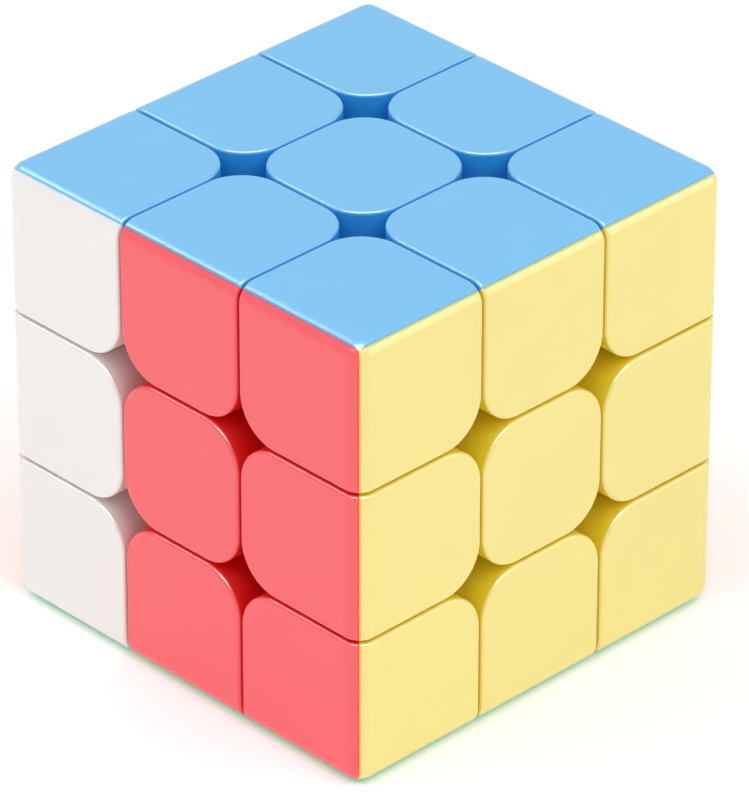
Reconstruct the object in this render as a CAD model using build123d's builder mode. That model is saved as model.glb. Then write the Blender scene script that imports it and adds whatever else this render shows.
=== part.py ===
from build123d import *
import os
from math import sqrt

os.makedirs("parts", exist_ok=True)

# A three-layer twisty puzzle cube. Origin at the middle of the core, front face towards -Y, +Z up.
# All sizes are in millimetres.

# ---- Driving dimensions: the outside ----
CUBE_WIDTH = 56.0  # face to face
LAYERS = 3
RUNNING_GAP = 0.40  # between two neighbouring pieces that turn past each other
TILE_CORNER_RADIUS = 5.3  # upright edges beside the star-shaped holes
EDGE_ROUND = 2.2  # along the outer edges of the cube
RIM_ROUND = 0.4  # round the rim of every piece
SEAM_NOTCH = 0.20  # parting line between two colours: how far it is set in from both faces

# ---- Driving dimensions: the moulded pieces ----
WALL = 1.4
CORNER_NECK = 9.4  # side of the three-sided neck between a corner's block and its foot
BOSS_RADIUS = 2.3
BOSS_SINK = 0.3  # how far a boss runs into the wall beside it
PIN_RADIUS = 1.2
PIN_LENGTH = 3.0
PIN_SETBACK = 7.5  # of the seam pins from the two faces that they lie between
PRESS_CLEARANCE = 0.05  # round a pin in its socket
CAP_DEPTH = 4.5
CAP_PEG_RADIUS = 1.1
CAP_PEG_LENGTH = 3.2
CAP_SEAM = 0.05  # between a cap and its base
FLOOR = 1.5  # under the spring

# ---- Driving dimensions: the core and its axles ----
HUB_RADIUS = 6.5
HUB_CLEARANCE = 2.8  # from the hub to the feet
ARM_RADIUS = 3.3
ARM_TIP = 9.6
ARM_ROUND = 0.4
SCREW_RADIUS = 1.3
SCREW_GRIP = 5.0  # length of the screw inside its arm
HEAD_RADIUS = 2.9
HEAD_HEIGHT = 1.6
HEAD_ROUND = 0.6
DRIVE_SLOT_WIDTH = 0.7
DRIVE_SLOT_LENGTH = 3.2
DRIVE_SLOT_DEPTH = 0.9
WASHER_RADIUS = 3.2
WASHER_THICKNESS = 0.5
WIRE_RADIUS = 0.3
SPRING_RADIUS = 2.45  # to the middle of the wire
SPRING_TURNS = 5
SPRING_LENGTH = 6.2
AXLE_CLEARANCE = 0.35  # round the screw, and round the washer in its well

# ---- Derived places ----
HALF = CUBE_WIDTH / 2
PITCH = CUBE_WIDTH / LAYERS
CLEAR = RUNNING_GAP / 2
SIDE = PITCH / 2  # from the centre to the planes between the layers
BLOCK_HALF_WIDTH = SIDE - CLEAR
BLOCK_INNER = SIDE + CLEAR
WELL_RADIUS = WASHER_RADIUS + AXLE_CLEARANCE
STEM_RADIUS = WELL_RADIUS + WALL
FOOT_PLANE = STEM_RADIUS + 2 * RUNNING_GAP  # from the centre to the planes between the feet
FOOT_SPHERE = sqrt(2 * BLOCK_INNER**2 + (BLOCK_INNER + CORNER_NECK / sqrt(2)) ** 2)
FOOT_INNER = HUB_RADIUS + HUB_CLEARANCE
STEM_BOTTOM = ARM_TIP + CLEAR
WELL_FLOOR = STEM_BOTTOM + FLOOR
WASHER_BOTTOM = WELL_FLOOR + SPRING_LENGTH
HEAD_BOTTOM = WASHER_BOTTOM + WASHER_THICKNESS
CAP_BOTTOM = HALF - CAP_DEPTH
SEAM_OUT = HALF - EDGE_ROUND * (1 - 1 / sqrt(2)) - SEAM_NOTCH
NECK_MARGIN = 0.5  # how far a neck runs into what it joins
BEYOND = CUBE_WIDTH  # longer than any piece

FACES = {
    "top": Vector(0, 0, 1),
    "bottom": Vector(0, 0, -1),
    "front": Vector(0, -1, 0),
    "back": Vector(0, 1, 0),
    "left": Vector(-1, 0, 0),
    "right": Vector(1, 0, 0),
}
FACE_COLOURS = {
    "top": "blue",
    "bottom": "green",
    "front": "red",
    "back": "orange",
    "left": "white",
    "right": "yellow",
}
# The two upright columns on the left are swapped, and with them two edge pieces of the top.
MOVED_COLUMNS = {
    ("front", "left"): {"front": "white", "left": "orange"},
    ("back", "left"): {"back": "white", "left": "red"},
}
MOVED_EDGES = {
    ("top", "left"): {"left": "orange"},
    ("top", "back"): {"back": "white"},
}


def colour(faces, face):
    """The colour that a piece lying on these faces shows on one of them."""
    if faces in MOVED_EDGES:
        return MOVED_EDGES[faces].get(face, FACE_COLOURS[face])
    for pair, colours in MOVED_COLUMNS.items():
        if set(pair) <= set(faces):
            return colours.get(face, FACE_COLOURS[face])
    return FACE_COLOURS[face]


# ---- Blocks: what shows of each piece ----
# A block is made in one place: a centre at +Z, an edge at +Y +Z, a corner at +X +Y +Z.
# With an inset it is the hollow inside the block, that far in from every face.


def near_rim(edge, sides):
    """True for an edge of the block along its outer rim. sides are the distances to its inner planes."""
    middle = edge.center()
    outermost = max(middle.X, middle.Y, middle.Z)
    return outermost > HALF - EDGE_ROUND / 2 and min(sides(middle)) < TILE_CORNER_RADIUS / 2


def edge_block(inset=0.0):
    half_width = BLOCK_HALF_WIDTH - inset
    inner = BLOCK_INNER + inset
    depth = HALF - inset - inner
    radius = TILE_CORNER_RADIUS - inset
    with BuildPart() as block:
        with BuildSketch(Plane.XY.offset(inner)) as from_above:
            with Locations((0, inner + depth / 2)):
                Rectangle(2 * half_width, depth)
            fillet(from_above.vertices().group_by(Axis.Y)[0], radius)
        extrude(amount=depth)
        with BuildSketch(Plane.XZ.offset(-inner)) as from_behind:
            with Locations((0, inner + depth / 2)):
                Rectangle(2 * half_width, depth)
            fillet(from_behind.vertices().group_by(Axis.Y)[0], radius)
        extrude(amount=-depth, mode=Mode.INTERSECT)
        if inset == 0:
            outer_edge = block.edges().filter_by(Axis.X).sort_by_distance((0, HALF, HALF))[0]
            fillet(outer_edge, EDGE_ROUND)
            rim = block.edges().filter_by(
                lambda edge: near_rim(
                    edge, lambda p: (half_width - abs(p.X), p.Y - inner, p.Z - inner)
                )
            )
            fillet(rim, RIM_ROUND)
            with Locations((0, SEAM_OUT, SEAM_OUT)):
                Box(
                    BEYOND,
                    EDGE_ROUND,
                    EDGE_ROUND,
                    align=(Align.CENTER, Align.MIN, Align.MIN),
                    mode=Mode.SUBTRACT,
                )
    return block.part


def corner_block(inset=0.0):
    inner = BLOCK_INNER + inset
    depth = HALF - inset - inner
    radius = TILE_CORNER_RADIUS - inset
    middle = inner + depth / 2
    views = (
        (Plane.XY.offset(inner), depth),
        (Plane.XZ.offset(-inner), -depth),
        (Plane.YZ.offset(inner), depth),
    )
    with BuildPart() as block:
        with Locations((middle, middle, middle)):
            Box(depth, depth, depth)
        for plane, length in views:
            with BuildSketch(plane) as outline:
                with Locations((middle, middle)):
                    Rectangle(depth, depth)
                fillet(outline.vertices().sort_by_distance(plane.origin)[0], radius)
            extrude(amount=length, mode=Mode.INTERSECT)
        if inset == 0:
            outer_edges = [
                block.edges().filter_by(axis).sort_by_distance((HALF, HALF, HALF))[0]
                for axis in (Axis.X, Axis.Y, Axis.Z)
            ]
            fillet(outer_edges, EDGE_ROUND)
            rim = block.edges().filter_by(
                lambda edge: near_rim(
                    edge, lambda p: (p.X - inner, p.Y - inner, p.Z - inner)
                )
            )
            fillet(rim, RIM_ROUND)
            for along in range(3):
                size = [BEYOND if axis == along else EDGE_ROUND for axis in range(3)]
                align = [Align.CENTER if axis == along else Align.MIN for axis in range(3)]
                with Locations((SEAM_OUT, SEAM_OUT, SEAM_OUT)):
                    Box(*size, align=align, mode=Mode.SUBTRACT)
    return block.part


# ---- Feet and necks: what holds each piece in the ball of feet ----


def foot(low, high, inset=0.0):
    """A box between two corners, kept to the ball of feet and clear of the hub."""
    middle = (low + high) / 2
    size = high - low
    with BuildPart() as shape:
        with Locations(middle):
            Box(size.X, size.Y, size.Z)
        Sphere(FOOT_SPHERE - CLEAR - inset, mode=Mode.INTERSECT)
        Sphere(FOOT_INNER + inset, mode=Mode.SUBTRACT)
    return shape.part


def neck(low, high, inset=0.0):
    """A box between two corners, kept to the shell that joins a foot to its block."""
    middle = (low + high) / 2
    size = high - low
    reach = CLEAR + inset + NECK_MARGIN
    with BuildPart() as shape:
        with Locations(middle):
            Box(size.X, size.Y, size.Z)
        Sphere(FOOT_SPHERE + reach, mode=Mode.INTERSECT)
        Sphere(FOOT_SPHERE - reach, mode=Mode.SUBTRACT)
    return shape.part


def edge_form(inset=0.0):
    half_foot = FOOT_PLANE - CLEAR - inset
    foot_low = FOOT_PLANE + CLEAR + inset
    neck_low = BLOCK_INNER + inset
    far = FOOT_SPHERE + WALL + RUNNING_GAP + NECK_MARGIN
    with BuildPart() as form:
        add(edge_block(inset))
        Sphere(FOOT_SPHERE + CLEAR + inset, mode=Mode.SUBTRACT)
        add(foot(Vector(-half_foot, foot_low, foot_low), Vector(half_foot, far, far), inset))
        add(neck(Vector(-half_foot, neck_low, neck_low), Vector(half_foot, far, far), inset))
    return form.part


def corner_form(inset=0.0):
    foot_low = FOOT_PLANE + CLEAR + inset
    neck_low = BLOCK_INNER + inset
    far = FOOT_SPHERE + WALL + RUNNING_GAP + NECK_MARGIN
    with BuildPart() as form:
        add(corner_block(inset))
        Sphere(FOOT_SPHERE + CLEAR + inset, mode=Mode.SUBTRACT)
        add(foot(Vector(foot_low, foot_low, foot_low), Vector(far, far, far), inset))
        add(neck(Vector(neck_low, neck_low, neck_low), Vector(far, far, far), inset))
    return form.part


# ---- Edge half: one of the two coloured mouldings of an edge piece, the one that carries the +Z face ----
EDGE_SEAM = Plane(origin=(0, 0, 0), x_dir=(1, 0, 0), z_dir=(0, -1, 1))
PIN_OUT = (HALF - PIN_SETBACK) * sqrt(2)
EDGE_PIN_X = BLOCK_HALF_WIDTH - WALL + BOSS_SINK - BOSS_RADIUS

with BuildPart() as edge_bosses:
    with BuildSketch(EDGE_SEAM):
        with Locations((EDGE_PIN_X, PIN_OUT), (-EDGE_PIN_X, PIN_OUT)):
            Circle(BOSS_RADIUS)
    extrude(amount=BEYOND)
    add(edge_form(), mode=Mode.INTERSECT)

with BuildPart() as edge_half:
    add(edge_form())
    add(edge_form(WALL), mode=Mode.SUBTRACT)
    split(bisect_by=EDGE_SEAM, keep=Keep.TOP)
    add(edge_bosses.part)
    with BuildSketch(EDGE_SEAM):
        with Locations((EDGE_PIN_X, PIN_OUT)):
            Circle(PIN_RADIUS)
    extrude(amount=-PIN_LENGTH)
    with BuildSketch(EDGE_SEAM):
        with Locations((-EDGE_PIN_X, PIN_OUT)):
            Circle(PIN_RADIUS + PRESS_CLEARANCE)
    extrude(amount=PIN_LENGTH + RUNNING_GAP, mode=Mode.SUBTRACT)

# ---- Corner third: one of the three coloured mouldings of a corner piece, the one with the +Z face ----
CORNER_SEAM_Y = Plane(origin=(0, 0, 0), x_dir=(1, 0, 0), z_dir=(0, -1, 1))
CORNER_SEAM_X = Plane(origin=(0, 0, 0), x_dir=(0, 1, 0), z_dir=(-1, 0, 1))
CORNER_PIN_IN = BLOCK_INNER + WALL - BOSS_SINK + BOSS_RADIUS
X_SEAM_OUT = CORNER_SEAM_X.to_local_coords(
    Vector(HALF - PIN_SETBACK, CORNER_PIN_IN, HALF - PIN_SETBACK)
)

with BuildPart() as corner_bosses:
    with BuildSketch(CORNER_SEAM_Y):
        with Locations((CORNER_PIN_IN, PIN_OUT)):
            Circle(BOSS_RADIUS)
    extrude(amount=BEYOND)
    with BuildSketch(CORNER_SEAM_X):
        with Locations((X_SEAM_OUT.X, X_SEAM_OUT.Y)):
            Circle(BOSS_RADIUS)
    extrude(amount=BEYOND)
    add(corner_form(), mode=Mode.INTERSECT)

with BuildPart() as corner_third:
    add(corner_form())
    add(corner_form(WALL), mode=Mode.SUBTRACT)
    split(bisect_by=CORNER_SEAM_Y, keep=Keep.TOP)
    split(bisect_by=CORNER_SEAM_X, keep=Keep.TOP)
    add(corner_bosses.part)
    with BuildSketch(CORNER_SEAM_Y):
        with Locations((CORNER_PIN_IN, PIN_OUT)):
            Circle(PIN_RADIUS)
    extrude(amount=-PIN_LENGTH)
    with BuildSketch(CORNER_SEAM_X):
        with Locations((X_SEAM_OUT.X, X_SEAM_OUT.Y)):
            Circle(PIN_RADIUS + PRESS_CLEARANCE)
    extrude(amount=PIN_LENGTH + RUNNING_GAP, mode=Mode.SUBTRACT)

# ---- Centre base: the stem on the axle and the hollow block above it ----
TILE_WIDTH = 2 * BLOCK_HALF_WIDTH
INNER_WIDTH = TILE_WIDTH - 2 * WALL
PEG_SETBACK = WALL - BOSS_SINK + BOSS_RADIUS
PEG_SPACING = TILE_WIDTH - 2 * PEG_SETBACK
BASE_TOP = CAP_BOTTOM - CAP_SEAM

with BuildPart() as base_hollow:
    with BuildSketch(Plane.XY):
        RectangleRounded(INNER_WIDTH, INNER_WIDTH, TILE_CORNER_RADIUS - WALL)
    extrude(amount=BASE_TOP)
    Sphere(FOOT_SPHERE + CLEAR + WALL, mode=Mode.SUBTRACT)
    with BuildSketch(Plane.XY):
        Circle(STEM_RADIUS)
        with GridLocations(PEG_SPACING, PEG_SPACING, 2, 2):
            Circle(BOSS_RADIUS)
    extrude(amount=BASE_TOP, mode=Mode.SUBTRACT)

with BuildPart() as centre_base:
    with BuildSketch(Plane.XY):
        RectangleRounded(TILE_WIDTH, TILE_WIDTH, TILE_CORNER_RADIUS)
    extrude(amount=BASE_TOP)
    Sphere(FOOT_SPHERE + CLEAR, mode=Mode.SUBTRACT)
    add(base_hollow.part, mode=Mode.SUBTRACT)
    with BuildSketch(Plane.XY.offset(STEM_BOTTOM)):
        Circle(STEM_RADIUS)
    extrude(until=Until.NEXT)
    with BuildSketch(Plane.XY.offset(WELL_FLOOR)):
        Circle(WELL_RADIUS)
    extrude(amount=BEYOND, mode=Mode.SUBTRACT)
    with BuildSketch(Plane.XY):
        Circle(SCREW_RADIUS + AXLE_CLEARANCE)
    extrude(amount=BEYOND, mode=Mode.SUBTRACT)
    with BuildSketch(Plane.XY.offset(BASE_TOP)):
        with GridLocations(PEG_SPACING, PEG_SPACING, 2, 2):
            Circle(CAP_PEG_RADIUS + PRESS_CLEARANCE)
    extrude(amount=-CAP_PEG_LENGTH - CAP_SEAM, mode=Mode.SUBTRACT)

# ---- Centre cap: the coloured lid that clips on the base and hides the screw ----
with BuildPart() as centre_cap:
    with BuildSketch(Plane.XY.offset(CAP_BOTTOM)):
        RectangleRounded(TILE_WIDTH, TILE_WIDTH, TILE_CORNER_RADIUS)
    extrude(amount=CAP_DEPTH)
    fillet(centre_cap.faces().sort_by(Axis.Z)[-1].edges(), RIM_ROUND)
    with BuildSketch(Plane.XY.offset(CAP_BOTTOM)):
        RectangleRounded(INNER_WIDTH, INNER_WIDTH, TILE_CORNER_RADIUS - WALL)
    extrude(amount=CAP_DEPTH - WALL, mode=Mode.SUBTRACT)
    with BuildSketch(Plane.XY.offset(CAP_BOTTOM - CAP_PEG_LENGTH)):
        with GridLocations(PEG_SPACING, PEG_SPACING, 2, 2):
            Circle(CAP_PEG_RADIUS)
    extrude(amount=CAP_PEG_LENGTH + CAP_DEPTH - WALL)

# ---- Core: six arms on a hub, with a pilot hole in each arm ----
FACE_PLANES = [
    Plane(origin=(0, 0, 0), x_dir=(outward.Y, outward.Z, outward.X), z_dir=outward)
    for outward in FACES.values()
]

with BuildPart() as core:
    Sphere(HUB_RADIUS)
    for plane in FACE_PLANES:
        with BuildSketch(plane):
            Circle(ARM_RADIUS)
        extrude(amount=ARM_TIP)
    arm_tips = core.edges().filter_by(GeomType.CIRCLE).group_by(
        lambda edge: edge.arc_center.length
    )[-1]
    fillet(arm_tips, ARM_ROUND)
    for plane in FACE_PLANES:
        with BuildSketch(plane.offset(ARM_TIP - SCREW_GRIP)):
            Circle(SCREW_RADIUS)
        extrude(amount=BEYOND, mode=Mode.SUBTRACT)
core.part.label = "core"
export_step(core.part, "parts/core.step")

# ---- Axle screw: a pan head with a cross drive, on +Z ----
with BuildPart() as screw:
    with BuildSketch(Plane.XY.offset(ARM_TIP - SCREW_GRIP)):
        Circle(SCREW_RADIUS)
    extrude(amount=HEAD_BOTTOM - ARM_TIP + SCREW_GRIP)
    with BuildSketch(Plane.XY.offset(HEAD_BOTTOM)):
        Circle(HEAD_RADIUS)
    extrude(amount=HEAD_HEIGHT)
    fillet(screw.edges().group_by(Axis.Z)[-1], HEAD_ROUND)
    with BuildSketch(Plane.XY.offset(HEAD_BOTTOM + HEAD_HEIGHT)):
        Rectangle(DRIVE_SLOT_LENGTH, DRIVE_SLOT_WIDTH)
        Rectangle(DRIVE_SLOT_WIDTH, DRIVE_SLOT_LENGTH)
    extrude(amount=-DRIVE_SLOT_DEPTH, mode=Mode.SUBTRACT)

# ---- Spring washer, on +Z ----
with BuildPart() as washer:
    with BuildSketch(Plane.XY.offset(WASHER_BOTTOM)):
        Circle(WASHER_RADIUS)
        Circle(SCREW_RADIUS + PRESS_CLEARANCE, mode=Mode.SUBTRACT)
    extrude(amount=WASHER_THICKNESS)

# ---- Tension spring: a wound steel wire between the well's floor and the washer, on +Z ----
WIRE_RISE = SPRING_LENGTH - 2 * (WIRE_RADIUS + PRESS_CLEARANCE)
with BuildPart() as spring:
    with BuildLine() as winding:
        Helix(
            pitch=WIRE_RISE / SPRING_TURNS,
            height=WIRE_RISE,
            radius=SPRING_RADIUS,
            center=(0, 0, WELL_FLOOR + WIRE_RADIUS + PRESS_CLEARANCE),
        )
    with BuildSketch(Plane(origin=winding.line @ 0, z_dir=winding.line % 0)):
        Circle(WIRE_RADIUS)
    sweep(is_frenet=True)


def on_every_face(piece, node):
    """The same small piece on each of the six axles, as one group of separate solids."""
    group = Compound(label=node, children=[plane.location * piece for plane in FACE_PLANES])
    export_step(group, f"parts/{node}.step")


on_every_face(screw.part, "axle_screws")
on_every_face(washer.part, "spring_washers")
on_every_face(spring.part, "tension_springs")

# ---- Centres: a base and its cap on each face ----
for face, plane in zip(FACES, FACE_PLANES):
    base = plane.location * centre_base.part
    cap = plane.location * centre_cap.part
    centre = Compound(label=f"centre_{face}_{FACE_COLOURS[face]}", children=[base, cap])
    export_step(centre, f"parts/{centre.label}.step")

# ---- Edges: two mouldings each ----
EDGE_FACES = [
    (first, second)
    for index, first in enumerate(FACES)
    for second in list(FACES)[index + 1 :]
    if FACES[first].dot(FACES[second]) == 0
]
for faces in EDGE_FACES:
    for face, other in (faces, faces[::-1]):
        outward = FACES[face]
        plane = Plane(origin=(0, 0, 0), x_dir=FACES[other].cross(outward), z_dir=outward)
        half = plane.location * edge_half.part
        half.label = "edge_" + "_".join(faces) + "_" + colour(faces, face)
        export_step(half, f"parts/{half.label}.step")

# ---- Corners: three mouldings each ----
CORNER_FACES = [
    (level, depth, hand)
    for level in ("top", "bottom")
    for depth in ("front", "back")
    for hand in ("left", "right")
]
for faces in CORNER_FACES:
    for index, face in enumerate(faces):
        outward = FACES[face]
        second, third = FACES[faces[index - 2]], FACES[faces[index - 1]]
        if second.cross(third).dot(outward) < 0:
            second = third
        plane = Plane(origin=(0, 0, 0), x_dir=second, z_dir=outward)
        moulding = plane.location * corner_third.part
        moulding.label = "corner_" + "_".join(faces) + "_" + colour(faces, face)
        export_step(moulding, f"parts/{moulding.label}.step")
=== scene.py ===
import math

import bpy
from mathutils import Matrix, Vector


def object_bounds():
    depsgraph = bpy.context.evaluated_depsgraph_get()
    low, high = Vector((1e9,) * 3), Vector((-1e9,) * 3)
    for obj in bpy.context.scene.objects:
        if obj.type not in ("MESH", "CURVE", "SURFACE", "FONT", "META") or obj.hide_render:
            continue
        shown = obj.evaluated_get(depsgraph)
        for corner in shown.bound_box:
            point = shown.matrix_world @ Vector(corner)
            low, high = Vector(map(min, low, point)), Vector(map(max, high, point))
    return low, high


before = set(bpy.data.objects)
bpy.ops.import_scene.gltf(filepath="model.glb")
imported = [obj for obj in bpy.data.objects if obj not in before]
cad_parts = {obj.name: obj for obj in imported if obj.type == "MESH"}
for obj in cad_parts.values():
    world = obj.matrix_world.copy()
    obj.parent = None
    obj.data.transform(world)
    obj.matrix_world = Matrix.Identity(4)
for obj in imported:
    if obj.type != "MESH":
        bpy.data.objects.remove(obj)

# A three-layer twisty puzzle cube on a pale studio sweep. Metres, +Z up, front face towards -Y.

MM = 0.001
cad_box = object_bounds()
low, high = Vector(cad_box[0]), Vector(cad_box[1])
HALF = (high.x - low.x) / 2  # from the middle of the core to each face

# ---- How a moulded piece changes from its face to its hidden walls: painted shade and duller gloss ----
OUTER_ROUND = 2.2 * MM  # radius along the cube's outer edges
RIM_END = 0.10 * MM  # depth below a face at which the painted recess shade and the duller gloss start
INNER_START = 0.60 * MM  # depth from which the painted recess shade and the inner gloss are full
FACE_ROUGHNESS = 0.24
HANDLING_SPREAD = 0.03  # how much smoother or rougher handling leaves a patch of a face
INNER_ROUGHNESS = 0.38

# ---- Real sizes that the patterns are drawn at: spacings, and heights of the bump ----
SPARK_GRAIN = 0.20 * MM  # the fine texture that spark erosion leaves in a mould
SPARK_HEIGHT = 0.004 * MM
FLOW_WAVE = 5.0 * MM  # the slow unevenness of a moulded wall
FLOW_HEIGHT = 0.03 * MM
HANDLING_PATCH = 7.0 * MM  # where fingers have polished a face or left it duller
PIGMENT_CLOUD = 11.0 * MM  # where the colour is a shade deeper or paler
NYLON_GRAIN = 0.15 * MM
NYLON_HEIGHT = 0.02 * MM
PLATING_GRAIN = 0.12 * MM
LAPPING_GRAIN = 0.06 * MM
DRAWING_GRAIN = 0.05 * MM
STEEL_HEIGHT = 0.01 * MM
PAPER_GRAIN = 1.5 * MM
PAPER_HEIGHT = 0.02 * MM

# ---- Floor and camera ----
FLOOR_GAP = 0.05 * MM  # the floor is just clear of the bottom face, so the two never coincide
CAMERA_AZIMUTH = 45.79  # degrees from the front face towards the right face
CAMERA_ELEVATION = 31.12
CAMERA_DISTANCE = 0.7696
LENS = 332.2  # millimetres, on a sensor 36 wide
SHIFT = (0.0140, -0.0228)


def linear(colour):
    """A colour written as sRGB hex, such as "8bcaf5", as linear red, green, blue and alpha."""
    channels = [int(colour[start : start + 2], 16) / 255 for start in (0, 2, 4)]
    return [c / 12.92 if c <= 0.04045 else ((c + 0.055) / 1.055) ** 2.4 for c in channels] + [1]


def add_node(tree, kind, settings=(), inputs=()):
    """Add one node. settings are its properties, inputs are socket values or sockets to link from."""
    node = tree.nodes.new(kind)
    for name, value in dict(settings).items():
        setattr(node, name, value)
    for name, value in dict(inputs).items():
        if isinstance(value, bpy.types.NodeSocket):
            tree.links.new(value, node.inputs[name])
        else:
            node.inputs[name].default_value = value
    return node


def new_material(name):
    """An empty material with its shader, and the socket that gives each point's place on the piece."""
    material = bpy.data.materials.new(name)
    material.use_nodes = True
    tree = material.node_tree
    tree.nodes.clear()
    shader = add_node(tree, "ShaderNodeBsdfPrincipled")
    add_node(tree, "ShaderNodeOutputMaterial", inputs={"Surface": shader.outputs["BSDF"]})
    place = add_node(tree, "ShaderNodeTexCoord").outputs["Object"]
    return material, tree, shader, place


def depth_below_outside(tree, place):
    """How far each point lies below the cube's faces and rounded outer edges, up to OUTER_ROUND."""
    straight = [HALF - OUTER_ROUND] * 3
    folded = add_node(tree, "ShaderNodeVectorMath", {"operation": "ABSOLUTE"}, {0: place})
    past = add_node(
        tree, "ShaderNodeVectorMath", {"operation": "SUBTRACT"}, {0: folded.outputs[0], 1: straight}
    )
    outer = add_node(tree, "ShaderNodeVectorMath", {"operation": "MAXIMUM"}, {0: past.outputs[0]})
    reach = add_node(tree, "ShaderNodeVectorMath", {"operation": "LENGTH"}, {0: outer.outputs[0]})
    depth = add_node(
        tree, "ShaderNodeMath", {"operation": "SUBTRACT"}, {0: OUTER_ROUND, 1: reach.outputs["Value"]}
    )
    return depth.outputs[0]


def moulded_abs(name, face_colour, recess_shade_colour):
    """ABS, injection moulded in a satin-polished mould. The eye gets a soft even face with a glossy
    rim, and on the walls below the face a duller gloss and painted shade: a deeper colour for the
    shade in holes and gaps."""
    material, tree, shader, place = new_material(name)
    depth = depth_below_outside(tree, place)
    # Depth mask for the painted shade of holes and gaps and for the duller gloss there.
    painted_shade_and_dull_gloss = add_node(
        tree,
        "ShaderNodeMapRange",
        {"interpolation_type": "SMOOTHSTEP"},
        {"Value": depth, "From Min": RIM_END, "From Max": INNER_START},
    ).outputs["Result"]

    # Colour: slightly cloudy pigment, with painted shade (a deeper colour) on the walls below the
    # face.
    clouds = add_node(
        tree, "ShaderNodeTexNoise", inputs={"Vector": place, "Scale": 1 / PIGMENT_CLOUD, "Detail": 2}
    )
    brightness = add_node(
        tree,
        "ShaderNodeMapRange",
        inputs={"Value": clouds.outputs["Fac"], "To Min": 0.975, "To Max": 1.025},
    )
    # Painted shade: below the face the colour turns to a deeper one that stands in for the shade
    # inside holes and gaps.
    painted_recess_shade = add_node(
        tree,
        "ShaderNodeMix",
        {"data_type": "RGBA"},
        {0: painted_shade_and_dull_gloss, 6: linear(face_colour), 7: linear(recess_shade_colour)},
    )
    pigment = add_node(
        tree,
        "ShaderNodeHueSaturation",
        inputs={"Value": brightness.outputs["Result"], "Color": painted_recess_shade.outputs[2]},
    )
    tree.links.new(pigment.outputs["Color"], shader.inputs["Base Color"])

    # Gloss: handled patches on the faces, even and duller inside.
    handling = add_node(
        tree,
        "ShaderNodeTexNoise",
        inputs={"Vector": place, "Scale": 1 / HANDLING_PATCH, "Detail": 4, "Roughness": 0.6},
    )
    face_gloss = add_node(
        tree,
        "ShaderNodeMapRange",
        inputs={
            "Value": handling.outputs["Fac"],
            "From Min": 0.3,
            "From Max": 0.7,
            "To Min": FACE_ROUGHNESS - HANDLING_SPREAD,
            "To Max": FACE_ROUGHNESS + HANDLING_SPREAD,
        },
    )
    gloss = add_node(
        tree,
        "ShaderNodeMix",
        inputs={0: painted_shade_and_dull_gloss, 2: face_gloss.outputs["Result"], 3: INNER_ROUGHNESS},
    )
    tree.links.new(gloss.outputs[0], shader.inputs["Roughness"])

    # Surface: the mould's fine grain over the slow waves of the moulded wall.
    waves = add_node(
        tree, "ShaderNodeTexNoise", inputs={"Vector": place, "Scale": 1 / FLOW_WAVE, "Detail": 0}
    )
    wavy = add_node(
        tree,
        "ShaderNodeBump",
        inputs={"Strength": 0.5, "Distance": FLOW_HEIGHT, "Height": waves.outputs["Fac"]},
    )
    grain = add_node(
        tree, "ShaderNodeTexNoise", inputs={"Vector": place, "Scale": 1 / SPARK_GRAIN, "Detail": 2}
    )
    grainy = add_node(
        tree,
        "ShaderNodeBump",
        inputs={
            "Strength": 0.25,
            "Distance": SPARK_HEIGHT,
            "Height": grain.outputs["Fac"],
            "Normal": wavy.outputs["Normal"],
        },
    )
    tree.links.new(grainy.outputs["Normal"], shader.inputs["Normal"])
    shader.inputs["IOR"].default_value = 1.54
    return material


def moulded_nylon(name, colour):
    """Black nylon, injection moulded in a blasted mould: dull, with a fine even grain."""
    material, tree, shader, place = new_material(name)
    grain = add_node(
        tree, "ShaderNodeTexNoise", inputs={"Vector": place, "Scale": 1 / NYLON_GRAIN, "Detail": 3}
    )
    shade = add_node(
        tree,
        "ShaderNodeMapRange",
        inputs={"Value": grain.outputs["Fac"], "To Min": 0.8, "To Max": 1.2},
    )
    pigment = add_node(
        tree,
        "ShaderNodeHueSaturation",
        inputs={"Value": shade.outputs["Result"], "Color": linear(colour)},
    )
    surface = add_node(
        tree,
        "ShaderNodeBump",
        inputs={"Strength": 0.5, "Distance": NYLON_HEIGHT, "Height": grain.outputs["Fac"]},
    )
    tree.links.new(pigment.outputs["Color"], shader.inputs["Base Color"])
    tree.links.new(surface.outputs["Normal"], shader.inputs["Normal"])
    shader.inputs["Roughness"].default_value = 0.55
    shader.inputs["IOR"].default_value = 1.53
    return material


def worked_steel(name, colour, grain, roughness, bump):
    """Steel with the marks of its making, whose spacing is grain. The eye gets a metal gloss broken
    by a fine grain."""
    material, tree, shader, place = new_material(name)
    marks = add_node(
        tree, "ShaderNodeTexNoise", inputs={"Vector": place, "Scale": 1 / grain, "Detail": 3}
    )
    shade = add_node(
        tree,
        "ShaderNodeMapRange",
        inputs={"Value": marks.outputs["Fac"], "To Min": 0.85, "To Max": 1.15},
    )
    metal = add_node(
        tree,
        "ShaderNodeHueSaturation",
        inputs={"Value": shade.outputs["Result"], "Color": linear(colour)},
    )
    gloss = add_node(
        tree,
        "ShaderNodeMapRange",
        inputs={
            "Value": marks.outputs["Fac"],
            "To Min": roughness * 0.7,
            "To Max": roughness * 1.3,
        },
    )
    surface = add_node(
        tree,
        "ShaderNodeBump",
        inputs={"Strength": bump, "Distance": STEEL_HEIGHT, "Height": marks.outputs["Fac"]},
    )
    tree.links.new(metal.outputs["Color"], shader.inputs["Base Color"])
    tree.links.new(gloss.outputs["Result"], shader.inputs["Roughness"])
    tree.links.new(surface.outputs["Normal"], shader.inputs["Normal"])
    shader.inputs["Metallic"].default_value = 1
    return material


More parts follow.
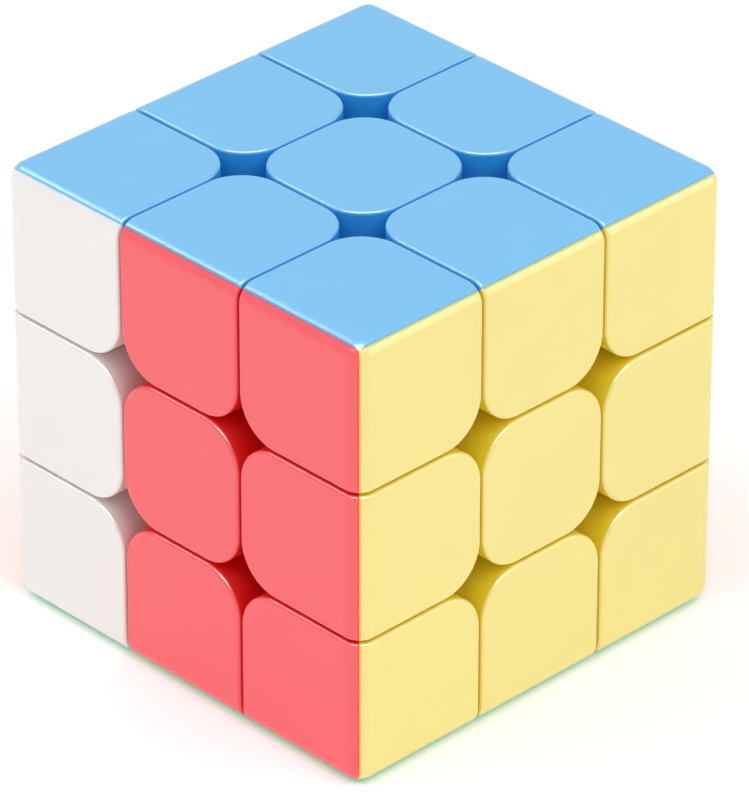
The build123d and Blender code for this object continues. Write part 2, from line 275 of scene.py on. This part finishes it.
def sweep_paper(name, colour):
    """A studio's seamless paper, lit from behind: matt, nearly white, with a faint fibre."""
    material, tree, shader, place = new_material(name)
    fibre = add_node(
        tree, "ShaderNodeTexNoise", inputs={"Vector": place, "Scale": 1 / PAPER_GRAIN, "Detail": 2}
    )
    surface = add_node(
        tree,
        "ShaderNodeBump",
        inputs={"Strength": 0.1, "Distance": PAPER_HEIGHT, "Height": fibre.outputs["Fac"]},
    )
    tree.links.new(surface.outputs["Normal"], shader.inputs["Normal"])
    shader.inputs["Base Color"].default_value = linear(colour)
    shader.inputs["Roughness"].default_value = 0.9
    shader.inputs["Specular IOR Level"].default_value = 0.1
    shader.inputs["Emission Color"].default_value = linear(colour)
    shader.inputs["Emission Strength"].default_value = 0.1
    return material


# ---- Finishes: a coloured node's name ends in its colour ----
# Each plastic's second colour is painted shade: a deeper tone on the walls below the face that stands
# in for the shade in holes and gaps.
PLASTICS = {
    "blue": moulded_abs("blue_abs", "79c0ef", "2ea4e9"),
    "green": moulded_abs("green_abs", "78cf93", "1c9441"),
    "red": moulded_abs("red_abs", "f35a61", "ee1416"),
    "orange": moulded_abs("orange_abs", "f9a35c", "d9680f"),
    "yellow": moulded_abs("yellow_abs", "efde87", "f6dd31"),
    "white": moulded_abs("white_abs", "ebe8e5", "f1eae7"),
}
INSIDE = {
    "core": moulded_nylon("black_nylon", "2b2b2d"),
    "axle_screws": worked_steel("zinc_plated_steel", "cfcfd2", PLATING_GRAIN, 0.28, 0.3),
    "spring_washers": worked_steel("lapped_steel", "d6d6d8", LAPPING_GRAIN, 0.2, 0.2),
    "tension_springs": worked_steel("drawn_spring_wire", "b9babd", DRAWING_GRAIN, 0.25, 0.4),
}
for node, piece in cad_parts.items():
    finish = INSIDE.get(node) or PLASTICS[node.rsplit("_", 1)[-1]]
    for slot in piece.material_slots:
        slot.material = finish


# ---- Studio ----
def direction(azimuth, elevation):
    """A unit vector, with azimuth in degrees from the front towards the right."""
    turn, rise = math.radians(azimuth), math.radians(elevation)
    return Vector((math.sin(turn) * math.cos(rise), -math.cos(turn) * math.cos(rise), math.sin(rise)))


def softbox(name, azimuth, elevation, distance, width, height, power, gloss_only=False):
    """A diffused lamp facing the cube. A gloss_only one is a card that is seen in reflections."""
    lamp = bpy.data.lights.new(name, "AREA")
    lamp.shape = "RECTANGLE"
    lamp.size = width
    lamp.size_y = height
    lamp.energy = power
    box = bpy.data.objects.new(name, lamp)
    bpy.context.scene.collection.objects.link(box)
    outward = direction(azimuth, elevation)
    box.location = outward * distance
    box.rotation_euler = outward.to_track_quat("Z", "Y").to_euler()
    box.visible_camera = False
    box.visible_diffuse = not gloss_only
    return box


FLOOR_SIZE = 12.0  # wide enough to fill the camera's view
bpy.ops.mesh.primitive_plane_add(size=FLOOR_SIZE, location=(0, 0, low.z - FLOOR_GAP))
floor = bpy.context.object
floor.name = "studio_floor"
floor.data.materials.append(sweep_paper("sweep_paper", "fefefe"))

softbox("key_softbox", -40, 48, 1.2, 0.9, 0.9, 3.7)
softbox("right_softbox", 95, 55, 1.4, 1.2, 1.2, 7.1)
softbox("high_front_card", 46, 60, 0.9, 1.4, 0.4, 30.0, gloss_only=True)
softbox("left_card", -62, 43, 1.0, 0.42, 0.16, 2.8, gloss_only=True)
softbox("back_right_card", 130, 18, 1.5, 1.3, 0.9, 11.0, gloss_only=True)

sky = bpy.data.worlds.new("studio_tent")
sky.use_nodes = True
sky.node_tree.nodes["Background"].inputs["Color"].default_value = (1, 1, 1, 1)
sky.node_tree.nodes["Background"].inputs["Strength"].default_value = 0.66
bpy.context.scene.world = sky
bpy.context.scene.view_settings.view_transform = "Standard"

# ---- Camera ----
lens = bpy.data.cameras.new("camera")
lens.sensor_fit = "HORIZONTAL"
lens.sensor_width = 36
lens.lens = LENS
lens.shift_x, lens.shift_y = SHIFT
lens.clip_start = 0.01
camera = bpy.data.objects.new("camera", lens)
bpy.context.scene.collection.objects.link(camera)
towards_camera = direction(CAMERA_AZIMUTH, CAMERA_ELEVATION)
camera.location = towards_camera * CAMERA_DISTANCE
camera.rotation_euler = towards_camera.to_track_quat("Z", "Y").to_euler()
bpy.context.scene.camera = camera
